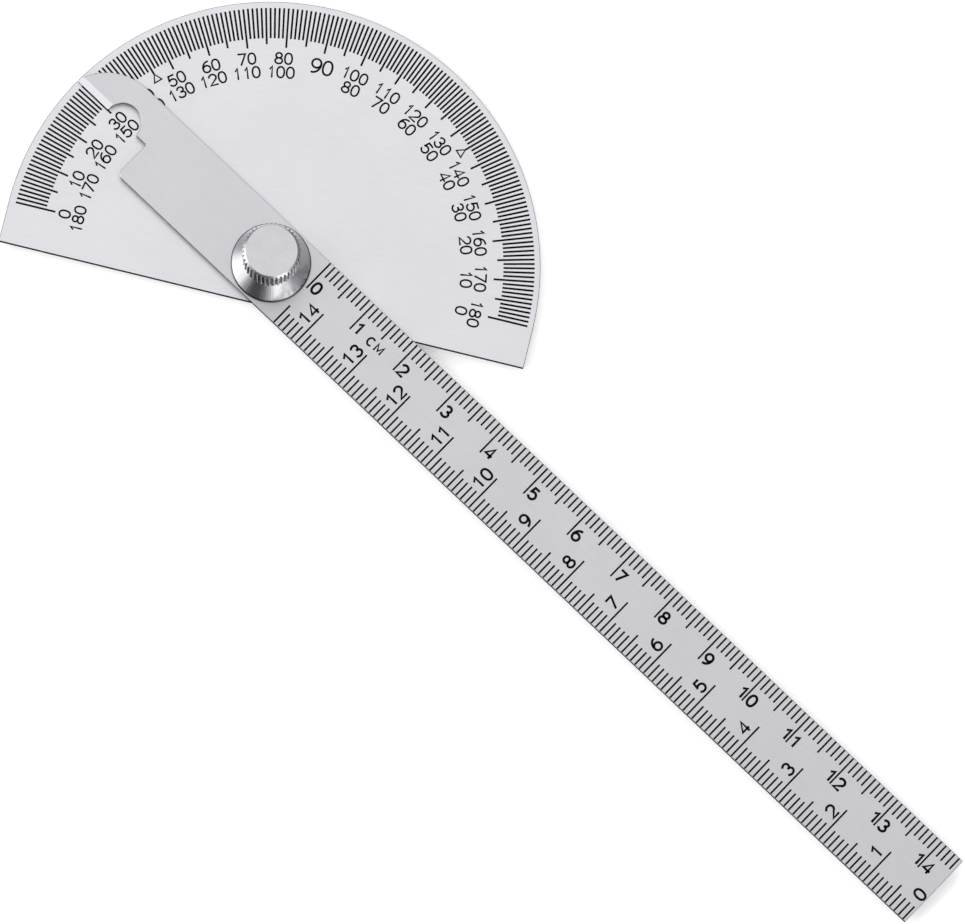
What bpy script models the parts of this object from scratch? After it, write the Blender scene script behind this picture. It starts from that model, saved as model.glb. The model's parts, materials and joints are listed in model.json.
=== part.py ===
"""Protractor: a half-round dial plate and a ruler arm, clamped together by a screw and a thumb nut.

The screw's axis is Z, with the origin on the underside of its flat head. X runs along the dial's 0-180
line, with 0 at -X, and Y points at the 90 mark. The arm is modelled along its own axes, U towards the
reading tip and V to the left of U, and its object is turned to the reading it is set to.
"""

import math

import bmesh
import bpy

MM = 0.001

# Driving dimensions, in millimetres.
GAP = 0.1                    # between pieces that touch
READING_DEG = 30.2           # the reading the arm is set to
PLATE_RADIUS = 45.0
PLATE_BELOW_PIVOT = 7.0      # from the pivot to the straight base edge
SHEET = 1.0                  # thickness of the plate and of the arm
EDGE_BREAK = 0.08            # the sheet's broken edges

ARM_HALF_WIDTH = 7.0
ARM_FAR_END = 151.9
SHOULDER_U = 29.0            # where the arm is cut back to its centre line
SHOULDER_ROUND = 1.2
NOTCH_U = 34.6               # reading notch
NOTCH_RADIUS = 3.25
TIP_ARC_U = 35.6             # the round end of the tip
TIP_ARC_RADIUS = 9.7
READING_BEVEL_WIDTH = 1.1    # bevel along the reading edge, from the notch to the tip
READING_EDGE_LEFT = 0.35     # sheet left under that bevel

HEAD_RADIUS = 5.5
HEAD_HEIGHT = 1.2
NECK_SIDE = 4.6
NECK_CLEARANCE = 0.05
SHANK_RADIUS = 2.0
SHANK_CLEARANCE = 0.08

SKIRT_RADIUS = 6.7
SKIRT_TOP_RADIUS = 4.45
SKIRT_HEIGHT = 3.6
SKIRT_LAND = 0.35            # upright rim at the skirt's base
RECESS_RADIUS = 4.6          # holds the spring washer
RECESS_DEPTH = 1.2
SPRING_INNER_RADIUS = 2.4
SPRING_OUTER_RADIUS = 4.4
SPRING_THICKNESS = 0.3
SPRING_WAVES = 3

NUT_HEIGHT = 6.2
KNURL_TEETH = 40
KNURL_TIP_RADIUS = 4.85
KNURL_ROOT_RADIUS = 4.55
NUT_FACE_RADIUS = 4.3        # of the flat top and the flat underside
NUT_TOP_SLOPE = 0.8          # fall of the top chamfer per mm of radius
NUT_BOTTOM_SLOPE = 1.0
NUT_ROOF = 1.2               # metal over the blind thread
SCREW_END_CLEARANCE = 0.3

# Heights, from the underside of the screw's head.
PLATE_Z = HEAD_HEIGHT + GAP
ARM_Z = PLATE_Z + SHEET + GAP
SKIRT_Z = ARM_Z + SHEET + GAP
NUT_Z = SKIRT_Z + SKIRT_HEIGHT + GAP
NUT_TOP_Z = NUT_Z + NUT_HEIGHT

ROUND_STEPS = 80             # sides of each turned piece
PLATE_STEPS = 120
SHARP_ANGLE = math.radians(25)

STEEL = (0.72, 0.72, 0.74, 1.0)
CHROME = (0.80, 0.80, 0.82, 1.0)


def clear_scene():
    for obj in list(bpy.data.objects):
        bpy.data.objects.remove(obj, do_unlink=True)


def metal(name, colour, roughness):
    material = bpy.data.materials.new(name)
    material.use_nodes = True
    shader = material.node_tree.nodes["Principled BSDF"]
    shader.inputs["Base Color"].default_value = colour
    shader.inputs["Metallic"].default_value = 1.0
    shader.inputs["Roughness"].default_value = roughness
    return material


def add_object(name, bm, material=None):
    """Turns the bmesh, in millimetres, into an object in metres."""
    bmesh.ops.scale(bm, vec=(MM, MM, MM), verts=bm.verts)
    bmesh.ops.recalc_face_normals(bm, faces=bm.faces)
    mesh = bpy.data.meshes.new(name)
    bm.to_mesh(mesh)
    bm.free()
    if material:
        mesh.materials.append(material)
        mesh.shade_smooth()
        mesh.set_sharp_from_angle(angle=SHARP_ANGLE)
    obj = bpy.data.objects.new(name, mesh)
    bpy.context.scene.collection.objects.link(obj)
    return obj


def arc(centre, radius, start_deg, end_deg, steps):
    """Points along an arc, both ends included."""
    points = []
    for i in range(steps + 1):
        angle = math.radians(start_deg + (end_deg - start_deg) * i / steps)
        points.append((centre[0] + radius * math.cos(angle), centre[1] + radius * math.sin(angle)))
    return points


def circle(radius, steps=ROUND_STEPS):
    return arc((0.0, 0.0), radius, 0.0, 360.0 * (steps - 1) / steps, steps - 1)


def square(side):
    half = side / 2
    return [(half, half), (-half, half), (-half, -half), (half, -half)]


def prism(outline, low, high):
    """A bmesh of the outline extruded from low to high."""
    bm = bmesh.new()
    bottom = bm.faces.new([bm.verts.new((x, y, low)) for x, y in outline])
    moved = bmesh.ops.extrude_face_region(bm, geom=[bottom])["geom"]
    top = [item for item in moved if isinstance(item, bmesh.types.BMVert)]
    bmesh.ops.translate(bm, vec=(0, 0, high - low), verts=top)
    return bm


def loft(rings, closed_tube=False):
    """A bmesh skinned over rings of equal length, with caps, or joined last to first as a tube."""
    bm = bmesh.new()
    verts = [[bm.verts.new(point) for point in ring] for ring in rings]
    count = len(verts[0])
    spans = list(zip(verts, verts[1:]))
    if closed_tube:
        spans.append((verts[-1], verts[0]))
    else:
        bm.faces.new(reversed(verts[0]))
        bm.faces.new(verts[-1])
    for lower, upper in spans:
        for i in range(count):
            j = (i + 1) % count
            bm.faces.new((lower[i], lower[j], upper[j], upper[i]))
    return bm


def ring(radius, z, steps=ROUND_STEPS):
    return [(x, y, z) for x, y in circle(radius, steps)]


def cut(target, cutter):
    cutter.hide_render = True
    cutter.display_type = "WIRE"
    modifier = target.modifiers.new("cut_" + cutter.name, "BOOLEAN")
    modifier.object = cutter
    modifier.operation = "DIFFERENCE"


def break_edges(target):
    modifier = target.modifiers.new("broken_edges", "BEVEL")
    modifier.width = EDGE_BREAK * MM
    modifier.segments = 1
    modifier.limit_method = "ANGLE"
    modifier.angle_limit = math.radians(40)


def make_dial_plate():
    outline = [(-PLATE_RADIUS, -PLATE_BELOW_PIVOT), (PLATE_RADIUS, -PLATE_BELOW_PIVOT)]
    outline += arc((0.0, 0.0), PLATE_RADIUS, 0.0, 180.0, PLATE_STEPS)
    plate = add_object("dial_plate", prism(outline, 0.0, SHEET), metal("dial_steel", STEEL, 0.35))
    plate.location.z = PLATE_Z * MM
    break_edges(plate)
    hole = prism(square(NECK_SIDE + 2 * NECK_CLEARANCE), -SHEET, 2 * SHEET)
    hole = add_object("neck_hole_cutter", hole)
    hole.location.z = PLATE_Z * MM
    cut(plate, hole)
    return plate


def arm_outline():
    """The arm's outline in (u, v), anticlockwise from the far end's right corner.

    The tip keeps only the right half of the strip, so its reading edge lies on the centre line.
    """
    corner = (SHOULDER_U - SHOULDER_ROUND, ARM_HALF_WIDTH - SHOULDER_ROUND)
    tip_centre = (TIP_ARC_U, TIP_ARC_RADIUS - ARM_HALF_WIDTH)
    tip_end = -math.degrees(math.asin(tip_centre[1] / TIP_ARC_RADIUS))
    outline = [(-ARM_FAR_END, -ARM_HALF_WIDTH)]
    outline += arc(tip_centre, TIP_ARC_RADIUS, -90.0, tip_end, 24)
    outline += arc((NOTCH_U, 0.0), NOTCH_RADIUS, 0.0, -180.0, 28)
    outline.append((SHOULDER_U, 0.0))
    outline += arc(corner, SHOULDER_ROUND, 0.0, 90.0, 6)
    outline.append((-ARM_FAR_END, ARM_HALF_WIDTH))
    return outline


def reading_bevel_cutter():
    """A wedge that thins the sheet towards the reading edge, from inside the notch past the tip."""
    slope = (SHEET - READING_EDGE_LEFT) / READING_BEVEL_WIDTH
    over = 1.0
    high = SHEET + over * slope
    section = [
        (-READING_BEVEL_WIDTH - over, high),
        (over, READING_EDGE_LEFT - over * slope),
        (over, high),
    ]
    rings = [[(u, v, z) for v, z in section] for u in (NOTCH_U, PLATE_RADIUS + over)]
    return loft(rings)


def make_ruler_arm(pivot):
    arm = add_object("ruler_arm", prism(arm_outline(), 0.0, SHEET), metal("arm_steel", STEEL, 0.32))
    break_edges(arm)
    hole = prism(circle(SHANK_RADIUS + SHANK_CLEARANCE, ROUND_STEPS), -SHEET, 2 * SHEET)
    cutters = [
        add_object("shank_hole_cutter", hole),
        add_object("reading_bevel_cutter", reading_bevel_cutter()),
    ]
    for cutter in cutters:
        cutter.parent = pivot
        cut(arm, cutter)
    arm.parent = pivot
    return arm


def make_pivot_screw():
    """A flat head, a square neck as tall as the plate, and a round shank up into the nut."""
    head_edge = 0.25
    steps = ROUND_STEPS
    neck_top = PLATE_Z + SHEET
    shank_top = NUT_TOP_Z - NUT_ROOF - SCREW_END_CLEARANCE
    rings = [
        ring(HEAD_RADIUS - head_edge, 0.0),
        ring(HEAD_RADIUS, head_edge),
        ring(HEAD_RADIUS, HEAD_HEIGHT),
        square_ring(NECK_SIDE, HEAD_HEIGHT, steps),
        square_ring(NECK_SIDE, neck_top, steps),
        ring(SHANK_RADIUS, neck_top),
        ring(SHANK_RADIUS, shank_top - head_edge),
        ring(SHANK_RADIUS - head_edge, shank_top),
    ]
    return add_object("pivot_screw", loft(rings), metal("screw_steel", CHROME, 0.28))


def square_ring(side, z, steps):
    """A square seen as a ring of points, at the same angles as a round ring's."""
    points = []
    for x, y in circle(1.0, steps):
        reach = (side / 2) / max(abs(x), abs(y))
        points.append((x * reach, y * reach, z))
    return points


def make_skirt_washer():
    """Turned about Z: up the outside, over the top, down the bore and round the recess."""
    edge = 0.15
    profile = [
        (RECESS_RADIUS, 0.0),
        (SKIRT_RADIUS - edge, 0.0),
        (SKIRT_RADIUS, edge),
        (SKIRT_RADIUS, SKIRT_LAND),
        (SKIRT_RADIUS - edge, SKIRT_LAND + edge),
        (SKIRT_TOP_RADIUS + edge, SKIRT_HEIGHT - edge),
        (SKIRT_TOP_RADIUS, SKIRT_HEIGHT),
        (SHANK_RADIUS + SHANK_CLEARANCE, SKIRT_HEIGHT),
        (SHANK_RADIUS + SHANK_CLEARANCE, RECESS_DEPTH),
        (RECESS_RADIUS, RECESS_DEPTH),
    ]
    rings = [ring(radius, z) for radius, z in profile]
    skirt = add_object("skirt_washer", loft(rings, closed_tube=True), metal("skirt_chrome", CHROME, 0.12))
    skirt.location.z = SKIRT_Z * MM
    return skirt


def make_spring_washer():
    """A wave washer: a flat ring whose height follows a cosine round it."""
    swing = (RECESS_DEPTH - GAP - SPRING_THICKNESS) / 2
    corners = [
        (SPRING_INNER_RADIUS, 0.0),
        (SPRING_OUTER_RADIUS, 0.0),
        (SPRING_OUTER_RADIUS, SPRING_THICKNESS),
        (SPRING_INNER_RADIUS, SPRING_THICKNESS),
    ]
    rings = []
    for radius, height in corners:
        points = []
        for i, (x, y) in enumerate(circle(radius)):
            wave = swing * (1 + math.cos(SPRING_WAVES * 2 * math.pi * i / ROUND_STEPS))
            points.append((x, y, height + wave))
        rings.append(points)
    spring = add_object("spring_washer", loft(rings, closed_tube=True), metal("spring_steel", STEEL, 0.3))
    spring.location.z = SKIRT_Z * MM
    return spring


def knurled_ring(face_z, slope):
    """The knurl's tips and roots, one tooth every 4 points, where a chamfer's cone cuts them.

    The cone starts at the rim of the flat face at face_z and rises by slope per mm of radius.
    """
    steps = KNURL_TEETH * 4
    points = []
    for i, (x, y) in enumerate(circle(1.0, steps)):
        radius = KNURL_TIP_RADIUS if i % 4 < 2 else KNURL_ROOT_RADIUS
        points.append((x * radius, y * radius, face_z + (radius - NUT_FACE_RADIUS) * slope))
    return points


def make_thumb_nut():
    """Bore from below, a knurled band between two chamfers, and a flat closed top."""
    steps = KNURL_TEETH * 4
    bore = SHANK_RADIUS + SHANK_CLEARANCE
    rings = [
        ring(bore, NUT_HEIGHT - NUT_ROOF, steps),
        ring(bore, 0.0, steps),
        ring(NUT_FACE_RADIUS, 0.0, steps),
        knurled_ring(0.0, NUT_BOTTOM_SLOPE),
        knurled_ring(NUT_HEIGHT, -NUT_TOP_SLOPE),
        ring(NUT_FACE_RADIUS, NUT_HEIGHT, steps),
    ]
    nut = add_object("thumb_nut", loft(rings), metal("nut_chrome", CHROME, 0.2))
    nut.location.z = NUT_Z * MM
    return nut


def main():
    clear_scene()
    pivot = bpy.data.objects.new("arm_pivot", None)
    bpy.context.scene.collection.objects.link(pivot)
    pivot.location.z = ARM_Z * MM
    pivot.rotation_euler.z = math.radians(180.0 - READING_DEG)
    make_dial_plate()
    make_ruler_arm(pivot)
    make_pivot_screw()
    make_skirt_washer()
    make_spring_washer()
    make_thumb_nut()


main()
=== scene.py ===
"""The protractor's looks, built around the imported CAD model: etched scales, metals, floor, light and camera.

Lengths are in millimetres unless a comment says otherwise, and MM turns them into metres.
"""

import json
import math

import bmesh
import bpy
from mathutils import Matrix, Vector


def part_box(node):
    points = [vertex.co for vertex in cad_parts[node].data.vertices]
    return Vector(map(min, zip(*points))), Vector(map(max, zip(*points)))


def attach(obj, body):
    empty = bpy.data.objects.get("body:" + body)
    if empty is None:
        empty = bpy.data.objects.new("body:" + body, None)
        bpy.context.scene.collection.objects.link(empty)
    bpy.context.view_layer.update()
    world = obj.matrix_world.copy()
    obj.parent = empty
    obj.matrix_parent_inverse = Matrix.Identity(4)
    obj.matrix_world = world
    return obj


MM = 0.001

# ---------------------------------------------------------------- sizes of the etched marks

INK_PROUD = 0.008            # fill standing above the sheet
INK_DEPTH = 0.05             # fill below the sheet's face
MITRE_LIMIT = 0.6            # a corner reaches out at most half the stroke's width divided by this
ARC_STEPS = 14
OVAL_STEPS = 24
OVAL_POWER = 0.88            # under 1, an oval is a little squared
ROUND_END_STEPS = 5
NUMBER_EVERY = 10            # degrees on the dial, millimetres on the ruler

LAST_READING = 180
LARGE_READING = 90
TRIANGLE_READINGS = (45, 135)
DIAL_TICK_WIDTH = 0.34
DIAL_TICK_INSET = 1.08       # from the plate's rim to the ticks' outer ends
DIAL_TICK_LENGTHS = {1: 5.22, 5: 6.25, 10: 6.8}  # of every mark, fifth mark and tenth mark
TRIANGLE_STEM = 6.0
TRIANGLE_HEIGHT = 1.35
TRIANGLE_HALF_BASE = 0.7
TRIANGLE_STROKE = 0.27
TICKS_OFFSET = (0.1, 0.05)   # where the ticks' centre lies from the pivot
ROWS_OFFSET = (-0.2, 0.05)   # where the number rows' centre lies from the pivot
OUTER_ROW_RADIUS = 35.23     # to the middle of the outer row's digits
INNER_ROW_RADIUS = 32.85
OUTER_ROW_SHIFTS = {1: 0.0, 2: 0.0, 3: 0.0}      # along the dial, by number of digits
INNER_ROW_SHIFTS = {1: 0.05, 2: 0.3, 3: -0.35}
DIAL_ONE_FLAG = 0.18         # a 1's width over its height, along its centre lines
DIAL_DIGIT_HEIGHT = 2.15
DIAL_STROKE = 0.31
DIAL_CELL = 1.62             # from one digit's middle to the next
DIAL_NINETY_RADIUS = 34.8
DIAL_NINETY_CELL = 1.97
DIAL_NINETY_SHIFT = 0.45     # along the dial, towards 180
DIAL_NINETY_HEIGHT = 2.72
DIAL_NINETY_STROKE = 0.35

# The upper scale runs along the arm's right-hand edge, seen from its far end to its reading tip, and
# the lower one along the left-hand edge.
RULER_LENGTH = 145           # millimetre divisions along the ruler
LAST_NUMBER = 14
RULER_TICK_WIDTH = 0.31
RULER_EDGE_MARGIN = 0.09     # the ticks stop at the strip's broken edge
RULER_ONE_FLAG = 0.32        # a 1's width over its height, along its centre lines
UPPER_TICK_LENGTHS = {1: 2.55, 5: 3.57, 10: 5.95}
UPPER_SCALE_SHIFT = -0.27    # along the strip; negative is away from the pivot
UPPER_DIGIT_HEIGHT = 2.4
UPPER_DIGIT_STROKE = 0.44
UPPER_DIGIT_FEET = 6.03      # from the right-hand edge to the digits' feet
UPPER_DIGIT_START = 0.42     # from the tick to a units digit
UPPER_DIGIT_END = 0.4        # from a tens digit to the tick
LOWER_TICK_LENGTHS = {1: 2.93, 5: 4.03, 10: 6.85}
LOWER_SCALE_SHIFT = -0.4
LOWER_DIGIT_HEIGHT = 2.45
LOWER_DIGIT_STROKE = 0.41
LOWER_DIGIT_FEET = 0.5       # from the tick to the digits' feet
LOWER_DIGIT_MIDDLE = {1: 5.0, 2: 5.27}           # from the left-hand edge, by number of digits
LOWER_DIGIT_GAP = 0.7
UNIT_TEXT = "CM"
UNIT_AT = 15.0               # from the upper scale's zero to the unit mark's middle
UNIT_HEIGHT = 1.75
UNIT_STROKE = 0.34
UNIT_FEET = 5.93
UNIT_GAP = 0.4


# ---------------------------------------------------------------- where things are, from the frame

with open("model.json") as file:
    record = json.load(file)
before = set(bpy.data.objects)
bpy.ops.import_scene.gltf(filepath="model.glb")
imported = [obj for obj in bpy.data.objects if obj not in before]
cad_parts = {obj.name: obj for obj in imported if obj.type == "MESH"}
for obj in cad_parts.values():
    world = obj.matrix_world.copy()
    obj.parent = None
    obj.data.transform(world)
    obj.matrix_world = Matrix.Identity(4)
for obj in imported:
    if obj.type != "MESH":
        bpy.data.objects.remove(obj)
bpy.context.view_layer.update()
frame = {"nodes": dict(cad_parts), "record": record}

PLATE_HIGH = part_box("dial_plate")[1]
PLATE_RADIUS = PLATE_HIGH.x / MM
PLATE_TOP = PLATE_HIGH.z / MM
ARM_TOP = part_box("ruler_arm")[1].z / MM


def mount(name):
    return next(m for m in frame["record"]["mounts"] if m["name"] == name)


def arm_axes():
    """U towards the reading tip, V to the left of U. The ruler edge faces away from V."""
    across = -Vector(mount("ruler_edge")["axis"]).normalized()
    along = across.cross(Vector((0, 0, 1)))
    return along, across


ARM_U, ARM_V = arm_axes()
ARM_HALF_WIDTH = max(abs(v.co.dot(ARM_V)) for v in frame["nodes"]["ruler_arm"].data.vertices) / MM
ARM_FAR_END = max(-v.co.dot(ARM_U) for v in frame["nodes"]["ruler_arm"].data.vertices) / MM
ARM_MATRIX = Matrix((
    (ARM_U.x, ARM_V.x, 0, 0),
    (ARM_U.y, ARM_V.y, 0, 0),
    (0, 0, 1, 0),
    (0, 0, 0, 1),
))


# ---------------------------------------------------------------- characters

def arc(cx, cy, rx, ry, start, end, steps=ARC_STEPS):
    """Points on an ellipse from start to end, in degrees; decreasing angles turn clockwise."""
    points = []
    for i in range(steps + 1):
        angle = math.radians(start + (end - start) * i / steps)
        points.append((cx + rx * math.cos(angle), cy + ry * math.sin(angle)))
    return points


def oval(cx, cy, rx, ry, power=1.0):
    """A closed oval: an ellipse at power 1, and squarer below that."""
    points = []
    for i in range(OVAL_STEPS):
        angle = 2 * math.pi * i / OVAL_STEPS
        x, y = math.cos(angle), math.sin(angle)
        points.append((
            cx + rx * math.copysign(abs(x) ** power, x),
            cy + ry * math.copysign(abs(y) ** power, y),
        ))
    return points + points[:1]


def glyphs(flag):
    """(width, strokes) of each character. Its strokes' centre lines are one unit tall, from y = 0,
    and as wide as its width, from x = 0."""
    wide = 0.66
    half = wide / 2
    four = wide + 0.06
    six = [oval(half, 0.32, half, 0.32), arc(0.54, 0.38, 0.54, 0.62, 180, 88, 12)]
    return {
        "0": (wide, [oval(half, 0.5, half, 0.5, OVAL_POWER)]),
        "1": (flag, [[(0.0, 0.76), (flag, 1.0), (flag, 0.0)]]),
        "2": (wide, [arc(half, 0.70, half, 0.30, 165, -36) + [(0.0, 0.0), (wide, 0.0)]]),
        "3": (wide, [arc(half, 0.75, 0.28, 0.25, 160, -90), arc(half, 0.27, half, 0.27, 90, -160)]),
        "4": (four, [[(0.52, 0.0), (0.52, 1.0), (0.0, 0.28), (four, 0.28)]]),
        "5": (wide, [[(0.60, 1.0), (0.12, 1.0), (0.05, 0.55)] + arc(0.32, 0.33, 0.34, 0.33, 138, -152)]),
        "6": (wide, six),
        "7": (wide, [[(0.0, 1.0), (wide, 1.0), (0.20, 0.0)]]),
        "8": (wide, [oval(half, 0.76, 0.27, 0.24), oval(half, 0.265, half, 0.265)]),
        "9": (wide, [[(wide - x, 1.0 - y) for x, y in stroke] for stroke in six]),
        "C": (0.76, [arc(0.42, 0.5, 0.42, 0.5, 46, 314, 20)]),
        "M": (0.88, [[(0.0, 0.0), (0.0, 1.0), (0.44, 0.2), (0.88, 1.0), (0.88, 0.0)]]),
    }


DIAL_GLYPHS = glyphs(DIAL_ONE_FLAG)
RULER_GLYPHS = glyphs(RULER_ONE_FLAG)


# ---------------------------------------------------------------- strokes
# place maps a point of the mark's own plane, and a height, to a 3D point in millimetres.

def ribbon_sides(path, closed, width):
    """The left and right point of a ribbon at each point of its path, mitred at the corners."""
    last = len(path) - 1
    sides = []
    for i, point in enumerate(path):
        before = path[i - 1] if closed or i > 0 else None
        after = path[(i + 1) % len(path)] if closed or i < last else None
        first = (after - point if before is None else point - before).normalized()
        second = first if after is None else (after - point).normalized()
        normal = Vector((-first.y - second.y, first.x + second.x))
        normal.normalize()
        reach = (width / 2) / max(MITRE_LIMIT, normal.dot(Vector((-first.y, first.x))))
        sides.append((point + normal * reach, point - normal * reach))
    return sides


def add_stroke(bm, points, width, top, place, round_ends=False):
    """A ribbon along the points, as a closed solid from inside the sheet to just proud of its top."""
    closed = points[0] == points[-1]
    path = [Vector(p) for p in (points[:-1] if closed else points)]
    count = len(path)
    sides = ribbon_sides(path, closed, width)
    heights = (top - INK_DEPTH, top + INK_PROUD)
    levels = [[tuple(bm.verts.new(place(p, z)) for p in pair) for pair in sides] for z in heights]
    for i in range(count if closed else count - 1):
        j = (i + 1) % count
        (bl, br), (bl2, br2) = levels[0][i], levels[0][j]
        (tl, tr), (tl2, tr2) = levels[1][i], levels[1][j]
        bm.faces.new((tl, tr, tr2, tl2))
        bm.faces.new((bl, bl2, br2, br))
        bm.faces.new((tl, tl2, bl2, bl))
        bm.faces.new((tr, br, br2, tr2))
    if closed:
        return
    for i, sign in ((0, 1), (count - 1, -1)):
        corners = levels[0][i] + levels[1][i]
        if round_ends:
            add_round_end(bm, path[i], sides[i][0], corners, sign, heights, place)
        else:
            bl, br, tl, tr = corners
            bm.faces.new((tl, bl, br, tr) if sign > 0 else (tl, tr, br, bl))


def add_round_end(bm, centre, left, corners, sign, heights, place):
    """A half-round cap on a ribbon's end, from its left side round to its right side."""
    bl, br, tl, tr = corners
    arm = left - centre
    lows, highs = [bl], [tl]
    for k in range(1, ROUND_END_STEPS):
        angle = sign * math.pi * k / ROUND_END_STEPS
        turned = Vector((
            arm.x * math.cos(angle) - arm.y * math.sin(angle),
            arm.x * math.sin(angle) + arm.y * math.cos(angle),
        ))
        lows.append(bm.verts.new(place(centre + turned, heights[0])))
        highs.append(bm.verts.new(place(centre + turned, heights[1])))
    lows.append(br)
    highs.append(tr)
    bm.faces.new(highs)
    bm.faces.new(lows[::-1])
    for k in range(ROUND_END_STEPS):
        bm.faces.new((highs[k], lows[k], lows[k + 1], highs[k + 1]))


def add_tick(bm, start, end, width, top):
    """A straight mark between two points of the sheet."""
    add_stroke(bm, [start, end], width, top, lambda p, z: (p.x, p.y, z))


def add_character(bm, strokes, x, height, stroke, top, place, round_ends=False):
    """A character on a baseline at y = 0, with its leftmost centre line at x."""
    scale = height - stroke
    for points in strokes:
        moved = [(x + px * scale, py * scale + stroke / 2) for px, py in points]
        add_stroke(bm, moved, stroke, top, place, round_ends)


def add_cells(bm, text, height, stroke, place, cell):
    """The dial's characters, each centred in a cell of the same width. x = 0 is the text's middle."""
    for i, character in enumerate(text):
        width, strokes = DIAL_GLYPHS[character]
        x = (i - (len(text) - 1) / 2) * cell - width * (height - stroke) / 2
        add_character(bm, strokes, x, height, stroke, PLATE_TOP, place, True)


def add_text(bm, text, height, stroke, place, gap=0.0):
    """The ruler's characters, with a clear gap between them. x = 0 is where the ink starts."""
    x = stroke / 2
    for character in text:
        width, strokes = RULER_GLYPHS[character]
        add_character(bm, strokes, x, height, stroke, ARM_TOP, place)
        x += width * (height - stroke) + stroke + gap


def text_width(text, height, stroke, gap=0.0):
    """From the left side of the first character's ink to the right side of the last one's."""
    inked = sum(RULER_GLYPHS[character][0] * (height - stroke) + stroke for character in text)
    return inked + gap * (len(text) - 1)


# ---------------------------------------------------------------- pieces

def piece(name, bm, body, material, matrix=None):
    """The bmesh, in millimetres, as a piece in metres that rides on a body."""
    bmesh.ops.recalc_face_normals(bm, faces=bm.faces)
    mesh = bpy.data.meshes.new(name)
    bm.to_mesh(mesh)
    bm.free()
    if matrix:
        mesh.transform(matrix)
    mesh.transform(Matrix.Scale(MM, 4))
    mesh.materials.append(material)
    obj = bpy.data.objects.new(name, mesh)
    bpy.context.scene.collection.objects.link(obj)
    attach(obj, body)
    return obj


def tick_kind(value):
    """The mark's entry in a table of tick lengths."""
    return 10 if value % 10 == 0 else 5 if value % 5 == 0 else 1


def polar(radius, reading, centre=(0.0, 0.0)):
    """A point of the dial; readings run clockwise from -X."""
    angle = math.radians(LAST_READING - reading)
    return centre[0] + radius * math.cos(angle), centre[1] + radius * math.sin(angle)


def dial_place(reading, radius, centre, shift=0.0):
    """Lays a mark across the dial at a reading, tops outward, with y = 0 at the given radius."""
    out = Vector(polar(1.0, reading))
    side = Vector((out.y, -out.x))
    origin = out * radius + side * shift + Vector(centre)

    def place(p, z):
        at = origin + out * p[1] + side * p[0]
        return at.x, at.y, z

    return place


def dial_ticks(ink):
    bm = bmesh.new()
    outer = PLATE_RADIUS - DIAL_TICK_INSET
    for reading in range(LAST_READING + 1):
        length = DIAL_TICK_LENGTHS[tick_kind(reading)]
        if reading in TRIANGLE_READINGS:
            length = TRIANGLE_STEM
        start = polar(outer, reading, TICKS_OFFSET)
        end = polar(outer - length, reading, TICKS_OFFSET)
        add_tick(bm, start, end, DIAL_TICK_WIDTH, PLATE_TOP)
    piece("dial_ticks", bm, "base", ink)


def dial_text(bm, text, reading, radius, height, stroke, cell, shift):
    """Text whose middle lies on a radius of the rows' own centre."""
    place = dial_place(reading, radius - height / 2, ROWS_OFFSET, shift)
    add_cells(bm, text, height, stroke, place, cell)


def dial_numbers(name, radius, shifts, label, ink):
    """One row of the dial's numbers, without the large one in the middle."""
    bm = bmesh.new()
    for reading in range(0, LAST_READING + 1, NUMBER_EVERY):
        if reading == LARGE_READING:
            continue
        text = label(reading)
        shift = shifts[len(text)]
        dial_text(bm, text, reading, radius, DIAL_DIGIT_HEIGHT, DIAL_STROKE, DIAL_CELL, shift)
    piece(name, bm, "base", ink)


def dial_ninety(ink):
    bm = bmesh.new()
    dial_text(
        bm, str(LARGE_READING), LARGE_READING, DIAL_NINETY_RADIUS, DIAL_NINETY_HEIGHT,
        DIAL_NINETY_STROKE, DIAL_NINETY_CELL, DIAL_NINETY_SHIFT,
    )
    piece("dial_number_90", bm, "base", ink)


def dial_triangles(ink):
    """An open triangle at the foot of each triangle tick, its apex on the tick's end."""
    bm = bmesh.new()
    apex = PLATE_RADIUS - DIAL_TICK_INSET - TRIANGLE_STEM
    corners = [
        (0.0, TRIANGLE_HEIGHT),
        (TRIANGLE_HALF_BASE, 0.0),
        (-TRIANGLE_HALF_BASE, 0.0),
        (0.0, TRIANGLE_HEIGHT),
    ]
    for reading in TRIANGLE_READINGS:
        place = dial_place(reading, apex - TRIANGLE_HEIGHT, TICKS_OFFSET)
        add_stroke(bm, corners, TRIANGLE_STROKE, PLATE_TOP, place)
    piece("dial_triangles", bm, "base", ink)


def ruler_ticks(name, side, lengths, shift, ink):
    """Marks from one long edge inwards. side is +1 for the left edge of U, -1 for the right one."""
    bm = bmesh.new()
    edge = side * (ARM_HALF_WIDTH - RULER_EDGE_MARGIN)
    for division in range(RULER_LENGTH + 1):
        # The right-hand scale counts away from the pivot and the left-hand one towards it,
        # and each leaves out the mark that would lie on the far end.
        from_end = RULER_LENGTH - division if side < 0 else division
        if from_end == 0:
            continue
        u = -ARM_FAR_END + from_end + shift
        inner = side * (ARM_HALF_WIDTH - lengths[tick_kind(division)])
        add_tick(bm, (u, edge), (u, inner), RULER_TICK_WIDTH, ARM_TOP)
    piece(name, bm, "arm", ink, ARM_MATRIX)


def upper_place(u, feet):
    """Lays text along the strip from u, away from the pivot, with its tops towards the right-hand edge."""
    return lambda p, z: (u - p[0], feet - p[1], z)


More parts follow.
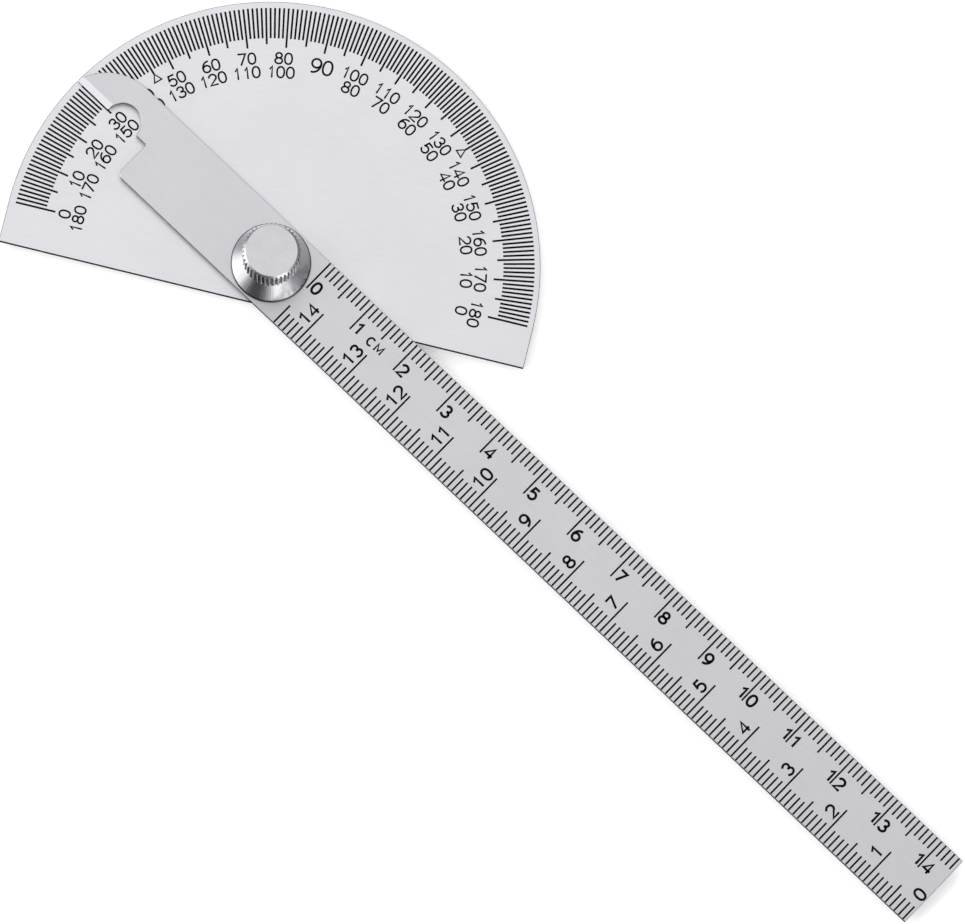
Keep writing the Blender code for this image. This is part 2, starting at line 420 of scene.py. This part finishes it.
def upper_numbers(ink):
    """The right-hand scale's numbers. A units digit starts just past its tick, and a tens digit ends
    just before it."""
    bm = bmesh.new()
    zero = -ARM_FAR_END + RULER_LENGTH + UPPER_SCALE_SHIFT
    feet = -ARM_HALF_WIDTH + UPPER_DIGIT_FEET
    for number in range(LAST_NUMBER + 1):
        tick = zero - NUMBER_EVERY * number
        tens, units = divmod(number, 10)
        place = upper_place(tick - UPPER_DIGIT_START, feet)
        add_text(bm, str(units), UPPER_DIGIT_HEIGHT, UPPER_DIGIT_STROKE, place)
        if tens:
            wide = text_width(str(tens), UPPER_DIGIT_HEIGHT, UPPER_DIGIT_STROKE)
            place = upper_place(tick + UPPER_DIGIT_END + wide, feet)
            add_text(bm, str(tens), UPPER_DIGIT_HEIGHT, UPPER_DIGIT_STROKE, place)
    wide = text_width(UNIT_TEXT, UNIT_HEIGHT, UNIT_STROKE, UNIT_GAP)
    place = upper_place(zero - UNIT_AT + wide / 2, -ARM_HALF_WIDTH + UNIT_FEET)
    add_text(bm, UNIT_TEXT, UNIT_HEIGHT, UNIT_STROKE, place, UNIT_GAP)
    piece("ruler_upper_numbers", bm, "arm", ink, ARM_MATRIX)


def lower_place(u, v):
    """Lays text across the strip from v inwards, with its feet at u and its tops towards the pivot."""
    return lambda p, z: (u + p[1], v - p[0], z)


def lower_numbers(ink):
    """The left-hand scale's numbers, turned a quarter."""
    bm = bmesh.new()
    for number in range(LAST_NUMBER + 1):
        text = str(number)
        wide = text_width(text, LOWER_DIGIT_HEIGHT, LOWER_DIGIT_STROKE, LOWER_DIGIT_GAP)
        start = ARM_HALF_WIDTH - LOWER_DIGIT_MIDDLE[len(text)] + wide / 2
        u = -ARM_FAR_END + NUMBER_EVERY * number + LOWER_SCALE_SHIFT + LOWER_DIGIT_FEET
        place = lower_place(u, start)
        add_text(bm, text, LOWER_DIGIT_HEIGHT, LOWER_DIGIT_STROKE, place, LOWER_DIGIT_GAP)
    piece("ruler_lower_numbers", bm, "arm", ink, ARM_MATRIX)


# ---------------------------------------------------------------- shader nodes

def feed(tree, socket, value):
    """Gives a socket a number, a colour with alpha, or another node's output."""
    if isinstance(value, bpy.types.NodeSocket):
        tree.links.new(value, socket)
    else:
        socket.default_value = value


def maths(tree, operation, *values):
    node = tree.nodes.new("ShaderNodeMath")
    node.operation = operation
    for socket, value in zip(node.inputs, values):
        feed(tree, socket, value)
    return node.outputs["Value"]


def mixed(tree, fac, first, second, kind="FLOAT"):
    """first where fac is 0, second where it is 1. kind is FLOAT or RGBA."""
    node = tree.nodes.new("ShaderNodeMix")
    node.data_type = kind
    feed(tree, node.inputs["Factor"], fac)
    feed(tree, node.inputs["A"], first)
    feed(tree, node.inputs["B"], second)
    return node.outputs["Result"]


def tinted(tree, fac, dark, light):
    return mixed(tree, fac, (*dark, 1.0), (*light, 1.0), "RGBA")


def over(tree, fac, below, colour):
    """A colour laid over another one where fac is 1."""
    return mixed(tree, fac, below, (*colour, 1.0), "RGBA")


def remap(tree, value, start, end, low=0.0, high=1.0):
    """low at start and before it, high at end and past it, and straight in between."""
    node = tree.nodes.new("ShaderNodeMapRange")
    node.inputs["From Min"].default_value = start
    node.inputs["From Max"].default_value = end
    node.inputs["To Min"].default_value = low
    node.inputs["To Max"].default_value = high
    tree.links.new(value, node.inputs["Value"])
    return node.outputs["Result"]


def around(tree, fac, middle, strays):
    """A value that goes from below its middle to above it as fac goes from 0 to 1."""
    return remap(tree, fac, 0.0, 1.0, middle + strays[0], middle + strays[1])


def coordinates(tree, kind):
    return tree.nodes.new("ShaderNodeTexCoord").outputs[kind]


def separated(tree, vector):
    """The X, Y and Z sockets of a vector."""
    node = tree.nodes.new("ShaderNodeSeparateXYZ")
    tree.links.new(vector, node.inputs["Vector"])
    return [node.outputs[axis] for axis in "XYZ"]


def noise(tree, where, scale, grain=(1.0, 1.0, 1.0), turn=0.0, detail=3.0):
    """A noise texture. grain is how long its patches are along each axis, once the axes are turned
    about Z."""
    mapping = tree.nodes.new("ShaderNodeMapping")
    mapping.vector_type = "TEXTURE"
    mapping.inputs["Scale"].default_value = grain
    mapping.inputs["Rotation"].default_value = (0.0, 0.0, turn)
    tree.links.new(where, mapping.inputs["Vector"])
    texture = tree.nodes.new("ShaderNodeTexNoise")
    texture.inputs["Scale"].default_value = scale
    texture.inputs["Detail"].default_value = detail
    tree.links.new(mapping.outputs["Vector"], texture.inputs["Vector"])
    return texture.outputs["Fac"]


def steepness(tree):
    """1 on a wall that stands along Z, 0 on a level face."""
    up = separated(tree, coordinates(tree, "Normal"))[2]
    return maths(tree, "SUBTRACT", 1.0, maths(tree, "ABSOLUTE", up))


def add_bump(tree, shader, height, strength, distance):
    """Relief on the surface; the distance is in metres."""
    bump = tree.nodes.new("ShaderNodeBump")
    bump.inputs["Strength"].default_value = strength
    bump.inputs["Distance"].default_value = distance
    tree.links.new(height, bump.inputs["Height"])
    tree.links.new(bump.outputs["Normal"], shader.inputs["Normal"])


def new_material(name, metallic=0.0):
    """A material, its node tree and its Principled shader."""
    material = bpy.data.materials.new(name)
    material.use_nodes = True
    shader = material.node_tree.nodes["Principled BSDF"]
    shader.inputs["Metallic"].default_value = metallic
    return material, material.node_tree, shader


# ---------------------------------------------------------------- materials

# Each finish is its darkest and its lightest colour, and its middle roughness.
DIAL_STEEL = ((0.725, 0.716, 0.752), (0.775, 0.766, 0.804), 0.36)
ARM_STEEL = ((0.628, 0.621, 0.655), (0.672, 0.664, 0.70), 0.34)
SCREW_STEEL = ((0.62, 0.62, 0.64), (0.74, 0.74, 0.76), 0.24)
SPRING_STEEL = ((0.42, 0.42, 0.44), (0.54, 0.54, 0.56), 0.3)
SKIRT_CHROME = ((0.72, 0.72, 0.74), (0.80, 0.80, 0.82), 0.19)
NUT_CHROME = ((0.64, 0.634, 0.664), (0.70, 0.694, 0.724), 0.26)
# Painted shade: a dark colour put on steep walls, broken edges and the skirt's foot in place of shadow
PAINTED_EDGE_SHADE = (0.07, 0.07, 0.073)
# Painted shade in the knurl's roots
KNURL_ROOT_SHADE = (0.02, 0.02, 0.022)
INK_DARK = (0.001, 0.001, 0.0012)
INK_LIGHT = (0.006, 0.006, 0.0065)
INK_SPECULAR = 0.06
INK_ROUGHNESS = (0.5, 0.8)

# Noise scales are per metre.
FINE_SCALE = 5200.0          # grain of a sheet, rings of a turned face
GRAIN_SHAPE = (20.0, 1.0, 1.0)                   # a grain is this much longer than it is wide
SHEET_CLOUD_SCALE = 90.0
SHEET_CLOUD_SHARE = 0.35     # the rest of the tone is grain
SHEET_BUMP = (0.03, 0.00002)                     # strength, and depth in metres
CHROME_HAZE_SCALE = 700.0
CHROME_BUMP = (0.05, 0.00003)
TURNED_CLOUD_SCALE = 420.0
TURNED_CLOUD_SHARE = 0.8     # the rest of the tone is rings
INK_PATCH_SCALE = 900.0
SHEET_UNEVEN = (-0.05, 0.06) # how far the roughness strays from its middle
CHROME_UNEVEN = (-0.03, 0.05)
TURNED_UNEVEN = (-0.04, 0.06)
TONE_SPAN = (0.3, 0.7)       # the noise's own values that become dark and light

SHEET_EDGE_FROM = 0.2        # steepness where the painted edge shade starts; this takes in a broken edge
ARM_EDGE_FROM = 0.5          # this takes in the wall alone
EDGE_FADE = 0.05
ROOT_SHADE_WALL = (0.5, 0.6)      # steepness from no painted shade to full painted shade
SKIRT_FOOT = 0.5             # height of the painted shade at the skirt's foot
FOOT_FADE = 0.05
KNURL_DEPTH = 0.3
KNURL_FADE = 0.06


def brushed_metal(name, finish, grain_angle, edge_from):
    """Satin sheet: fine straight grain, faint cloudy tone and roughness that follows both. Faces
    steeper than edge_from are painted dark as shade along the sheet's edges."""
    dark, light, roughness = finish
    material, tree, shader = new_material(name, 1.0)
    where = coordinates(tree, "Object")
    grain = noise(tree, where, FINE_SCALE, GRAIN_SHAPE, grain_angle)
    cloud = noise(tree, where, SHEET_CLOUD_SCALE)
    tone = mixed(tree, SHEET_CLOUD_SHARE, grain, cloud)
    colour = tinted(tree, remap(tree, tone, *TONE_SPAN), dark, light)
    # Painted shade: steep walls are darkened as the shade along the sheet's edges
    edge_shade = remap(tree, steepness(tree), edge_from, edge_from + EDGE_FADE)
    uneven = around(tree, tone, roughness, SHEET_UNEVEN)
    tree.links.new(over(tree, edge_shade, colour, PAINTED_EDGE_SHADE), shader.inputs["Base Color"])
    tree.links.new(uneven, shader.inputs["Roughness"])
    add_bump(tree, shader, grain, *SHEET_BUMP)
    return material


def polished_metal(name, finish, foot):
    """Plating: nearly a mirror, with a faint haze in its tone, roughness and relief. Below the height
    foot, in metres, it is painted dark as shade where it sits."""
    dark, light, roughness = finish
    material, tree, shader = new_material(name, 1.0)
    where = coordinates(tree, "Object")
    haze = noise(tree, where, CHROME_HAZE_SCALE, detail=4.0)
    # Painted shade: the skirt is darkened below its foot height, where its contact shadow falls
    shade = remap(tree, separated(tree, where)[2], foot, foot + FOOT_FADE * MM, 1.0, 0.0)
    uneven = around(tree, haze, roughness, CHROME_UNEVEN)
    colour = over(tree, shade, tinted(tree, haze, dark, light), PAINTED_EDGE_SHADE)
    tree.links.new(colour, shader.inputs["Base Color"])
    tree.links.new(uneven, shader.inputs["Roughness"])
    add_bump(tree, shader, haze, *CHROME_BUMP)
    return material


def radius_from_z(tree, where):
    """The distance from the Z axis."""
    x, y, _ = separated(tree, where)
    flat = tree.nodes.new("ShaderNodeCombineXYZ")
    tree.links.new(x, flat.inputs["X"])
    tree.links.new(y, flat.inputs["Y"])
    length = tree.nodes.new("ShaderNodeVectorMath")
    length.operation = "LENGTH"
    tree.links.new(flat.outputs["Vector"], length.inputs[0])
    return length.outputs["Value"]


def turned_rings(tree, radius):
    """Noise that depends on the radius alone."""
    rings = tree.nodes.new("ShaderNodeTexNoise")
    rings.noise_dimensions = "1D"
    rings.inputs["Scale"].default_value = FINE_SCALE
    rings.inputs["Detail"].default_value = 2.0
    tree.links.new(radius, rings.inputs["W"])
    return rings.outputs["Fac"]


def turned_metal(name, finish, grooves):
    """A turned surface: fine rings about the Z axis. Walls inside the radius grooves, in metres,
    are painted dark as shade in the knurl's roots."""
    dark, light, roughness = finish
    material, tree, shader = new_material(name, 1.0)
    where = coordinates(tree, "Object")
    radius = radius_from_z(tree, where)
    rings = turned_rings(tree, radius)
    cloud = noise(tree, where, TURNED_CLOUD_SCALE)
    tone = mixed(tree, TURNED_CLOUD_SHARE, rings, cloud)
    colour = tinted(tree, remap(tree, tone, *TONE_SPAN), dark, light)
    inside = remap(tree, radius, grooves - KNURL_FADE * MM, grooves + KNURL_FADE * MM, 1.0, 0.0)
    # Painted shade: steep walls inside the grooves' radius are darkened as shade in the knurl's roots
    root_shade = maths(tree, "MULTIPLY", inside, remap(tree, steepness(tree), *ROOT_SHADE_WALL))
    uneven = around(tree, tone, roughness, TURNED_UNEVEN)
    tree.links.new(over(tree, root_shade, colour, KNURL_ROOT_SHADE), shader.inputs["Base Color"])
    tree.links.new(uneven, shader.inputs["Roughness"])
    add_bump(tree, shader, rings, *CHROME_BUMP)
    return material


def scale_ink():
    """Black fill in the etched marks, slightly uneven."""
    material, tree, shader = new_material("scale_ink")
    patchy = noise(tree, coordinates(tree, "Object"), INK_PATCH_SCALE)
    tree.links.new(tinted(tree, patchy, INK_DARK, INK_LIGHT), shader.inputs["Base Color"])
    tree.links.new(remap(tree, patchy, 0.0, 1.0, *INK_ROUGHNESS), shader.inputs["Roughness"])
    shader.inputs["Specular IOR Level"].default_value = INK_SPECULAR
    return material


def use_material(node, material):
    """Puts the material in every slot of a CAD node."""
    for slot in frame["nodes"][node].material_slots:
        slot.material = material


def dress_frame():
    arm_angle = math.atan2(ARM_U.y, ARM_U.x)
    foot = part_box("skirt_washer")[0].z + SKIRT_FOOT * MM
    nut_low, nut_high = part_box("thumb_nut")
    grooves = (nut_high.x - nut_low.x) / 2 - KNURL_DEPTH / 2 * MM
    use_material("dial_plate", brushed_metal("dial_steel", DIAL_STEEL, 0.0, SHEET_EDGE_FROM))
    use_material("ruler_arm", brushed_metal("arm_steel", ARM_STEEL, arm_angle, ARM_EDGE_FROM))
    use_material("pivot_screw", turned_metal("screw_steel", SCREW_STEEL, 0.0))
    use_material("skirt_washer", polished_metal("skirt_chrome", SKIRT_CHROME, foot))
    use_material("thumb_nut", turned_metal("nut_chrome", NUT_CHROME, grooves))
    use_material("spring_washer", brushed_metal("spring_steel", SPRING_STEEL, 0.0, ARM_EDGE_FROM))


# ---------------------------------------------------------------- camera

CAMERA_TARGET = Vector((42.122, -24.214, 2.9)) * MM
CAMERA_DISTANCE = 1412.33 * MM
CAMERA_AZIMUTH = math.radians(-87.141)           # where the camera stands, seen from the target
CAMERA_ELEVATION = math.radians(79.359)
CAMERA_ROLL = math.radians(-10.848)
CAMERA_CLIP = (0.01, 20.0)                       # metres
LENS_MM = 317.098
SENSOR_MM = 36.0


def direction(azimuth, elevation):
    flat = math.cos(elevation)
    return Vector((flat * math.cos(azimuth), flat * math.sin(azimuth), math.sin(elevation)))


def add_camera():
    data = bpy.data.cameras.new("camera")
    data.lens = LENS_MM
    data.sensor_width = SENSOR_MM
    data.clip_start, data.clip_end = CAMERA_CLIP
    camera = bpy.data.objects.new("camera", data)
    bpy.context.scene.collection.objects.link(camera)
    back = direction(CAMERA_AZIMUTH, CAMERA_ELEVATION)
    level_up = (Vector((0, 0, 1)) - back * back.z).normalized()
    level_right = level_up.cross(back)
    up = level_up * math.cos(CAMERA_ROLL) + level_right * math.sin(CAMERA_ROLL)
    right = up.cross(back)
    camera.matrix_world = Matrix((
        (right.x, up.x, back.x, 0),
        (right.y, up.y, back.y, 0),
        (right.z, up.z, back.z, 0),
        (0, 0, 0, 1),
    ))
    camera.location = CAMERA_TARGET + back * CAMERA_DISTANCE
    bpy.context.scene.camera = camera


# ---------------------------------------------------------------- floor

FLOOR_HALF_SIZE = 1.5        # metres
FLOOR_DROP = 0.02            # below the screw's head
FLOOR_COLOUR = (0.93, 0.93, 0.93, 1.0)
FLOOR_ROUGHNESS = 0.9
FLOOR_GLOW = 0.3             # a faintly lit table keeps its shadows pale


def floor_white():
    material, _, shader = new_material("floor_white")
    shader.inputs["Base Color"].default_value = FLOOR_COLOUR
    shader.inputs["Roughness"].default_value = FLOOR_ROUGHNESS
    shader.inputs["Emission Color"].default_value = (1.0, 1.0, 1.0, 1.0)
    shader.inputs["Emission Strength"].default_value = FLOOR_GLOW
    return material


def add_floor():
    bm = bmesh.new()
    bmesh.ops.create_grid(bm, x_segments=1, y_segments=1, size=FLOOR_HALF_SIZE)
    mesh = bpy.data.meshes.new("floor")
    bm.to_mesh(mesh)
    bm.free()
    mesh.materials.append(floor_white())
    floor = bpy.data.objects.new("floor", mesh)
    bpy.context.scene.collection.objects.link(floor)
    floor.location.z = -FLOOR_DROP * MM
    # The metals mirror the studio's dark lower half in place of the floor.
    floor.visible_glossy = False


# ---------------------------------------------------------------- studio light

# Each band of the studio is its brightness at azimuths from -180 degrees, as (azimuth, brightness).
BELOW_HORIZON = (
    (-180, 1.3), (-146, 1.2), (-132, 0.40), (-118, 0.08), (-102, 0.07), (-90, 0.18), (-80, 0.5),
    (-66, 1.3), (-40, 1.5), (-22, 0.3), (0, 0.15), (120, 0.15), (150, 0.3),
)
ABOVE_HORIZON = (
    (-180, 1.8), (-158, 1.9), (-138, 0.3), (-125, 0.06), (-75, 0.06), (-58, 1.2), (-40, 1.5),
    (-22, 0.35), (5, 0.25), (70, 0.25), (88, 1.0), (120, 1.0), (136, 0.4), (160, 0.3), (172, 1.2),
)
SOFTBOXES = (
    (-180, 3.6), (-143, 3.3), (-125, 0.5), (-74, 0.5), (-60, 3.4), (-42, 3.0), (-25, 0.7),
    (70, 0.6), (92, 3.0), (115, 3.0), (134, 0.8), (162, 0.7), (176, 3.2),
)
BRIGHTEST = 4.0              # more than any of the bands
STUDIO_FLOOR = 0.03          # brightness straight down
CEILING = 0.775              # brightness overhead
CEILING_SLOPE = 0.5          # how fast it brightens towards -X and +Y

# Where one band gives way to the next: two heights on a unit sphere, -1 down and 1 up.
FLOOR_TO_LOW = (-0.75, -0.55)
LOW_TO_SIDE = (-0.10, 0.02)
SIDE_TO_SOFTBOXES = (0.42, 0.58)
SOFTBOXES_TO_CEILING = (0.80, 0.90)


def brightness_round(tree, turn, stops):
    """A brightness round the horizon. turn is 0 at -180 degrees and 1 at 180."""
    ramp = tree.nodes.new("ShaderNodeValToRGB")
    ramp.color_ramp.interpolation = "EASE"
    elements = ramp.color_ramp.elements
    while len(elements) < len(stops):
        elements.new(0.5)
    for element, (azimuth, brightness) in zip(elements, stops):
        element.position = (azimuth + 180) / 360
        element.color = [brightness / BRIGHTEST] * 3 + [1.0]
    tree.links.new(turn, ramp.inputs["Fac"])
    return maths(tree, "MULTIPLY", ramp.outputs["Color"], BRIGHTEST)


def crossfade(tree, height, heights, below, above):
    """below under the first of two heights, above over the second, and a smooth change between them."""
    fade = tree.nodes.new("ShaderNodeMapRange")
    fade.interpolation_type = "SMOOTHSTEP"
    fade.inputs["From Min"].default_value = heights[0]
    fade.inputs["From Max"].default_value = heights[1]
    tree.links.new(height, fade.inputs["Value"])
    return mixed(tree, fade.outputs["Result"], below, above)


def add_light():
    world = bpy.data.worlds.new("studio")
    world.use_nodes = True
    tree = world.node_tree
    x, y, z = separated(tree, coordinates(tree, "Generated"))
    turn = maths(tree, "MULTIPLY_ADD", maths(tree, "ARCTAN2", y, x), 0.5 / math.pi, 0.5)
    ceiling = maths(tree, "MULTIPLY_ADD", maths(tree, "SUBTRACT", y, x), CEILING_SLOPE, CEILING)
    low = brightness_round(tree, turn, BELOW_HORIZON)
    side = brightness_round(tree, turn, ABOVE_HORIZON)
    boxes = brightness_round(tree, turn, SOFTBOXES)
    strength = crossfade(tree, z, FLOOR_TO_LOW, STUDIO_FLOOR, low)
    strength = crossfade(tree, z, LOW_TO_SIDE, strength, side)
    strength = crossfade(tree, z, SIDE_TO_SOFTBOXES, strength, boxes)
    strength = crossfade(tree, z, SOFTBOXES_TO_CEILING, strength, ceiling)
    background = tree.nodes["Background"]
    background.inputs["Color"].default_value = (1.0, 1.0, 1.0, 1.0)
    tree.links.new(strength, background.inputs["Strength"])
    bpy.context.scene.world = world
    bpy.context.scene.view_settings.view_transform = "Standard"


# ---------------------------------------------------------------- the whole scene

def main():
    ink = scale_ink()
    dress_frame()
    dial_ticks(ink)
    dial_numbers("dial_outer_numbers", OUTER_ROW_RADIUS, OUTER_ROW_SHIFTS, str, ink)
    dial_numbers(
        "dial_inner_numbers", INNER_ROW_RADIUS, INNER_ROW_SHIFTS,
        lambda reading: str(LAST_READING - reading), ink,
    )
    dial_ninety(ink)
    dial_triangles(ink)
    ruler_ticks("ruler_upper_ticks", -1, UPPER_TICK_LENGTHS, UPPER_SCALE_SHIFT, ink)
    ruler_ticks("ruler_lower_ticks", 1, LOWER_TICK_LENGTHS, LOWER_SCALE_SHIFT, ink)
    upper_numbers(ink)
    lower_numbers(ink)
    add_floor()
    add_light()
    add_camera()


main()
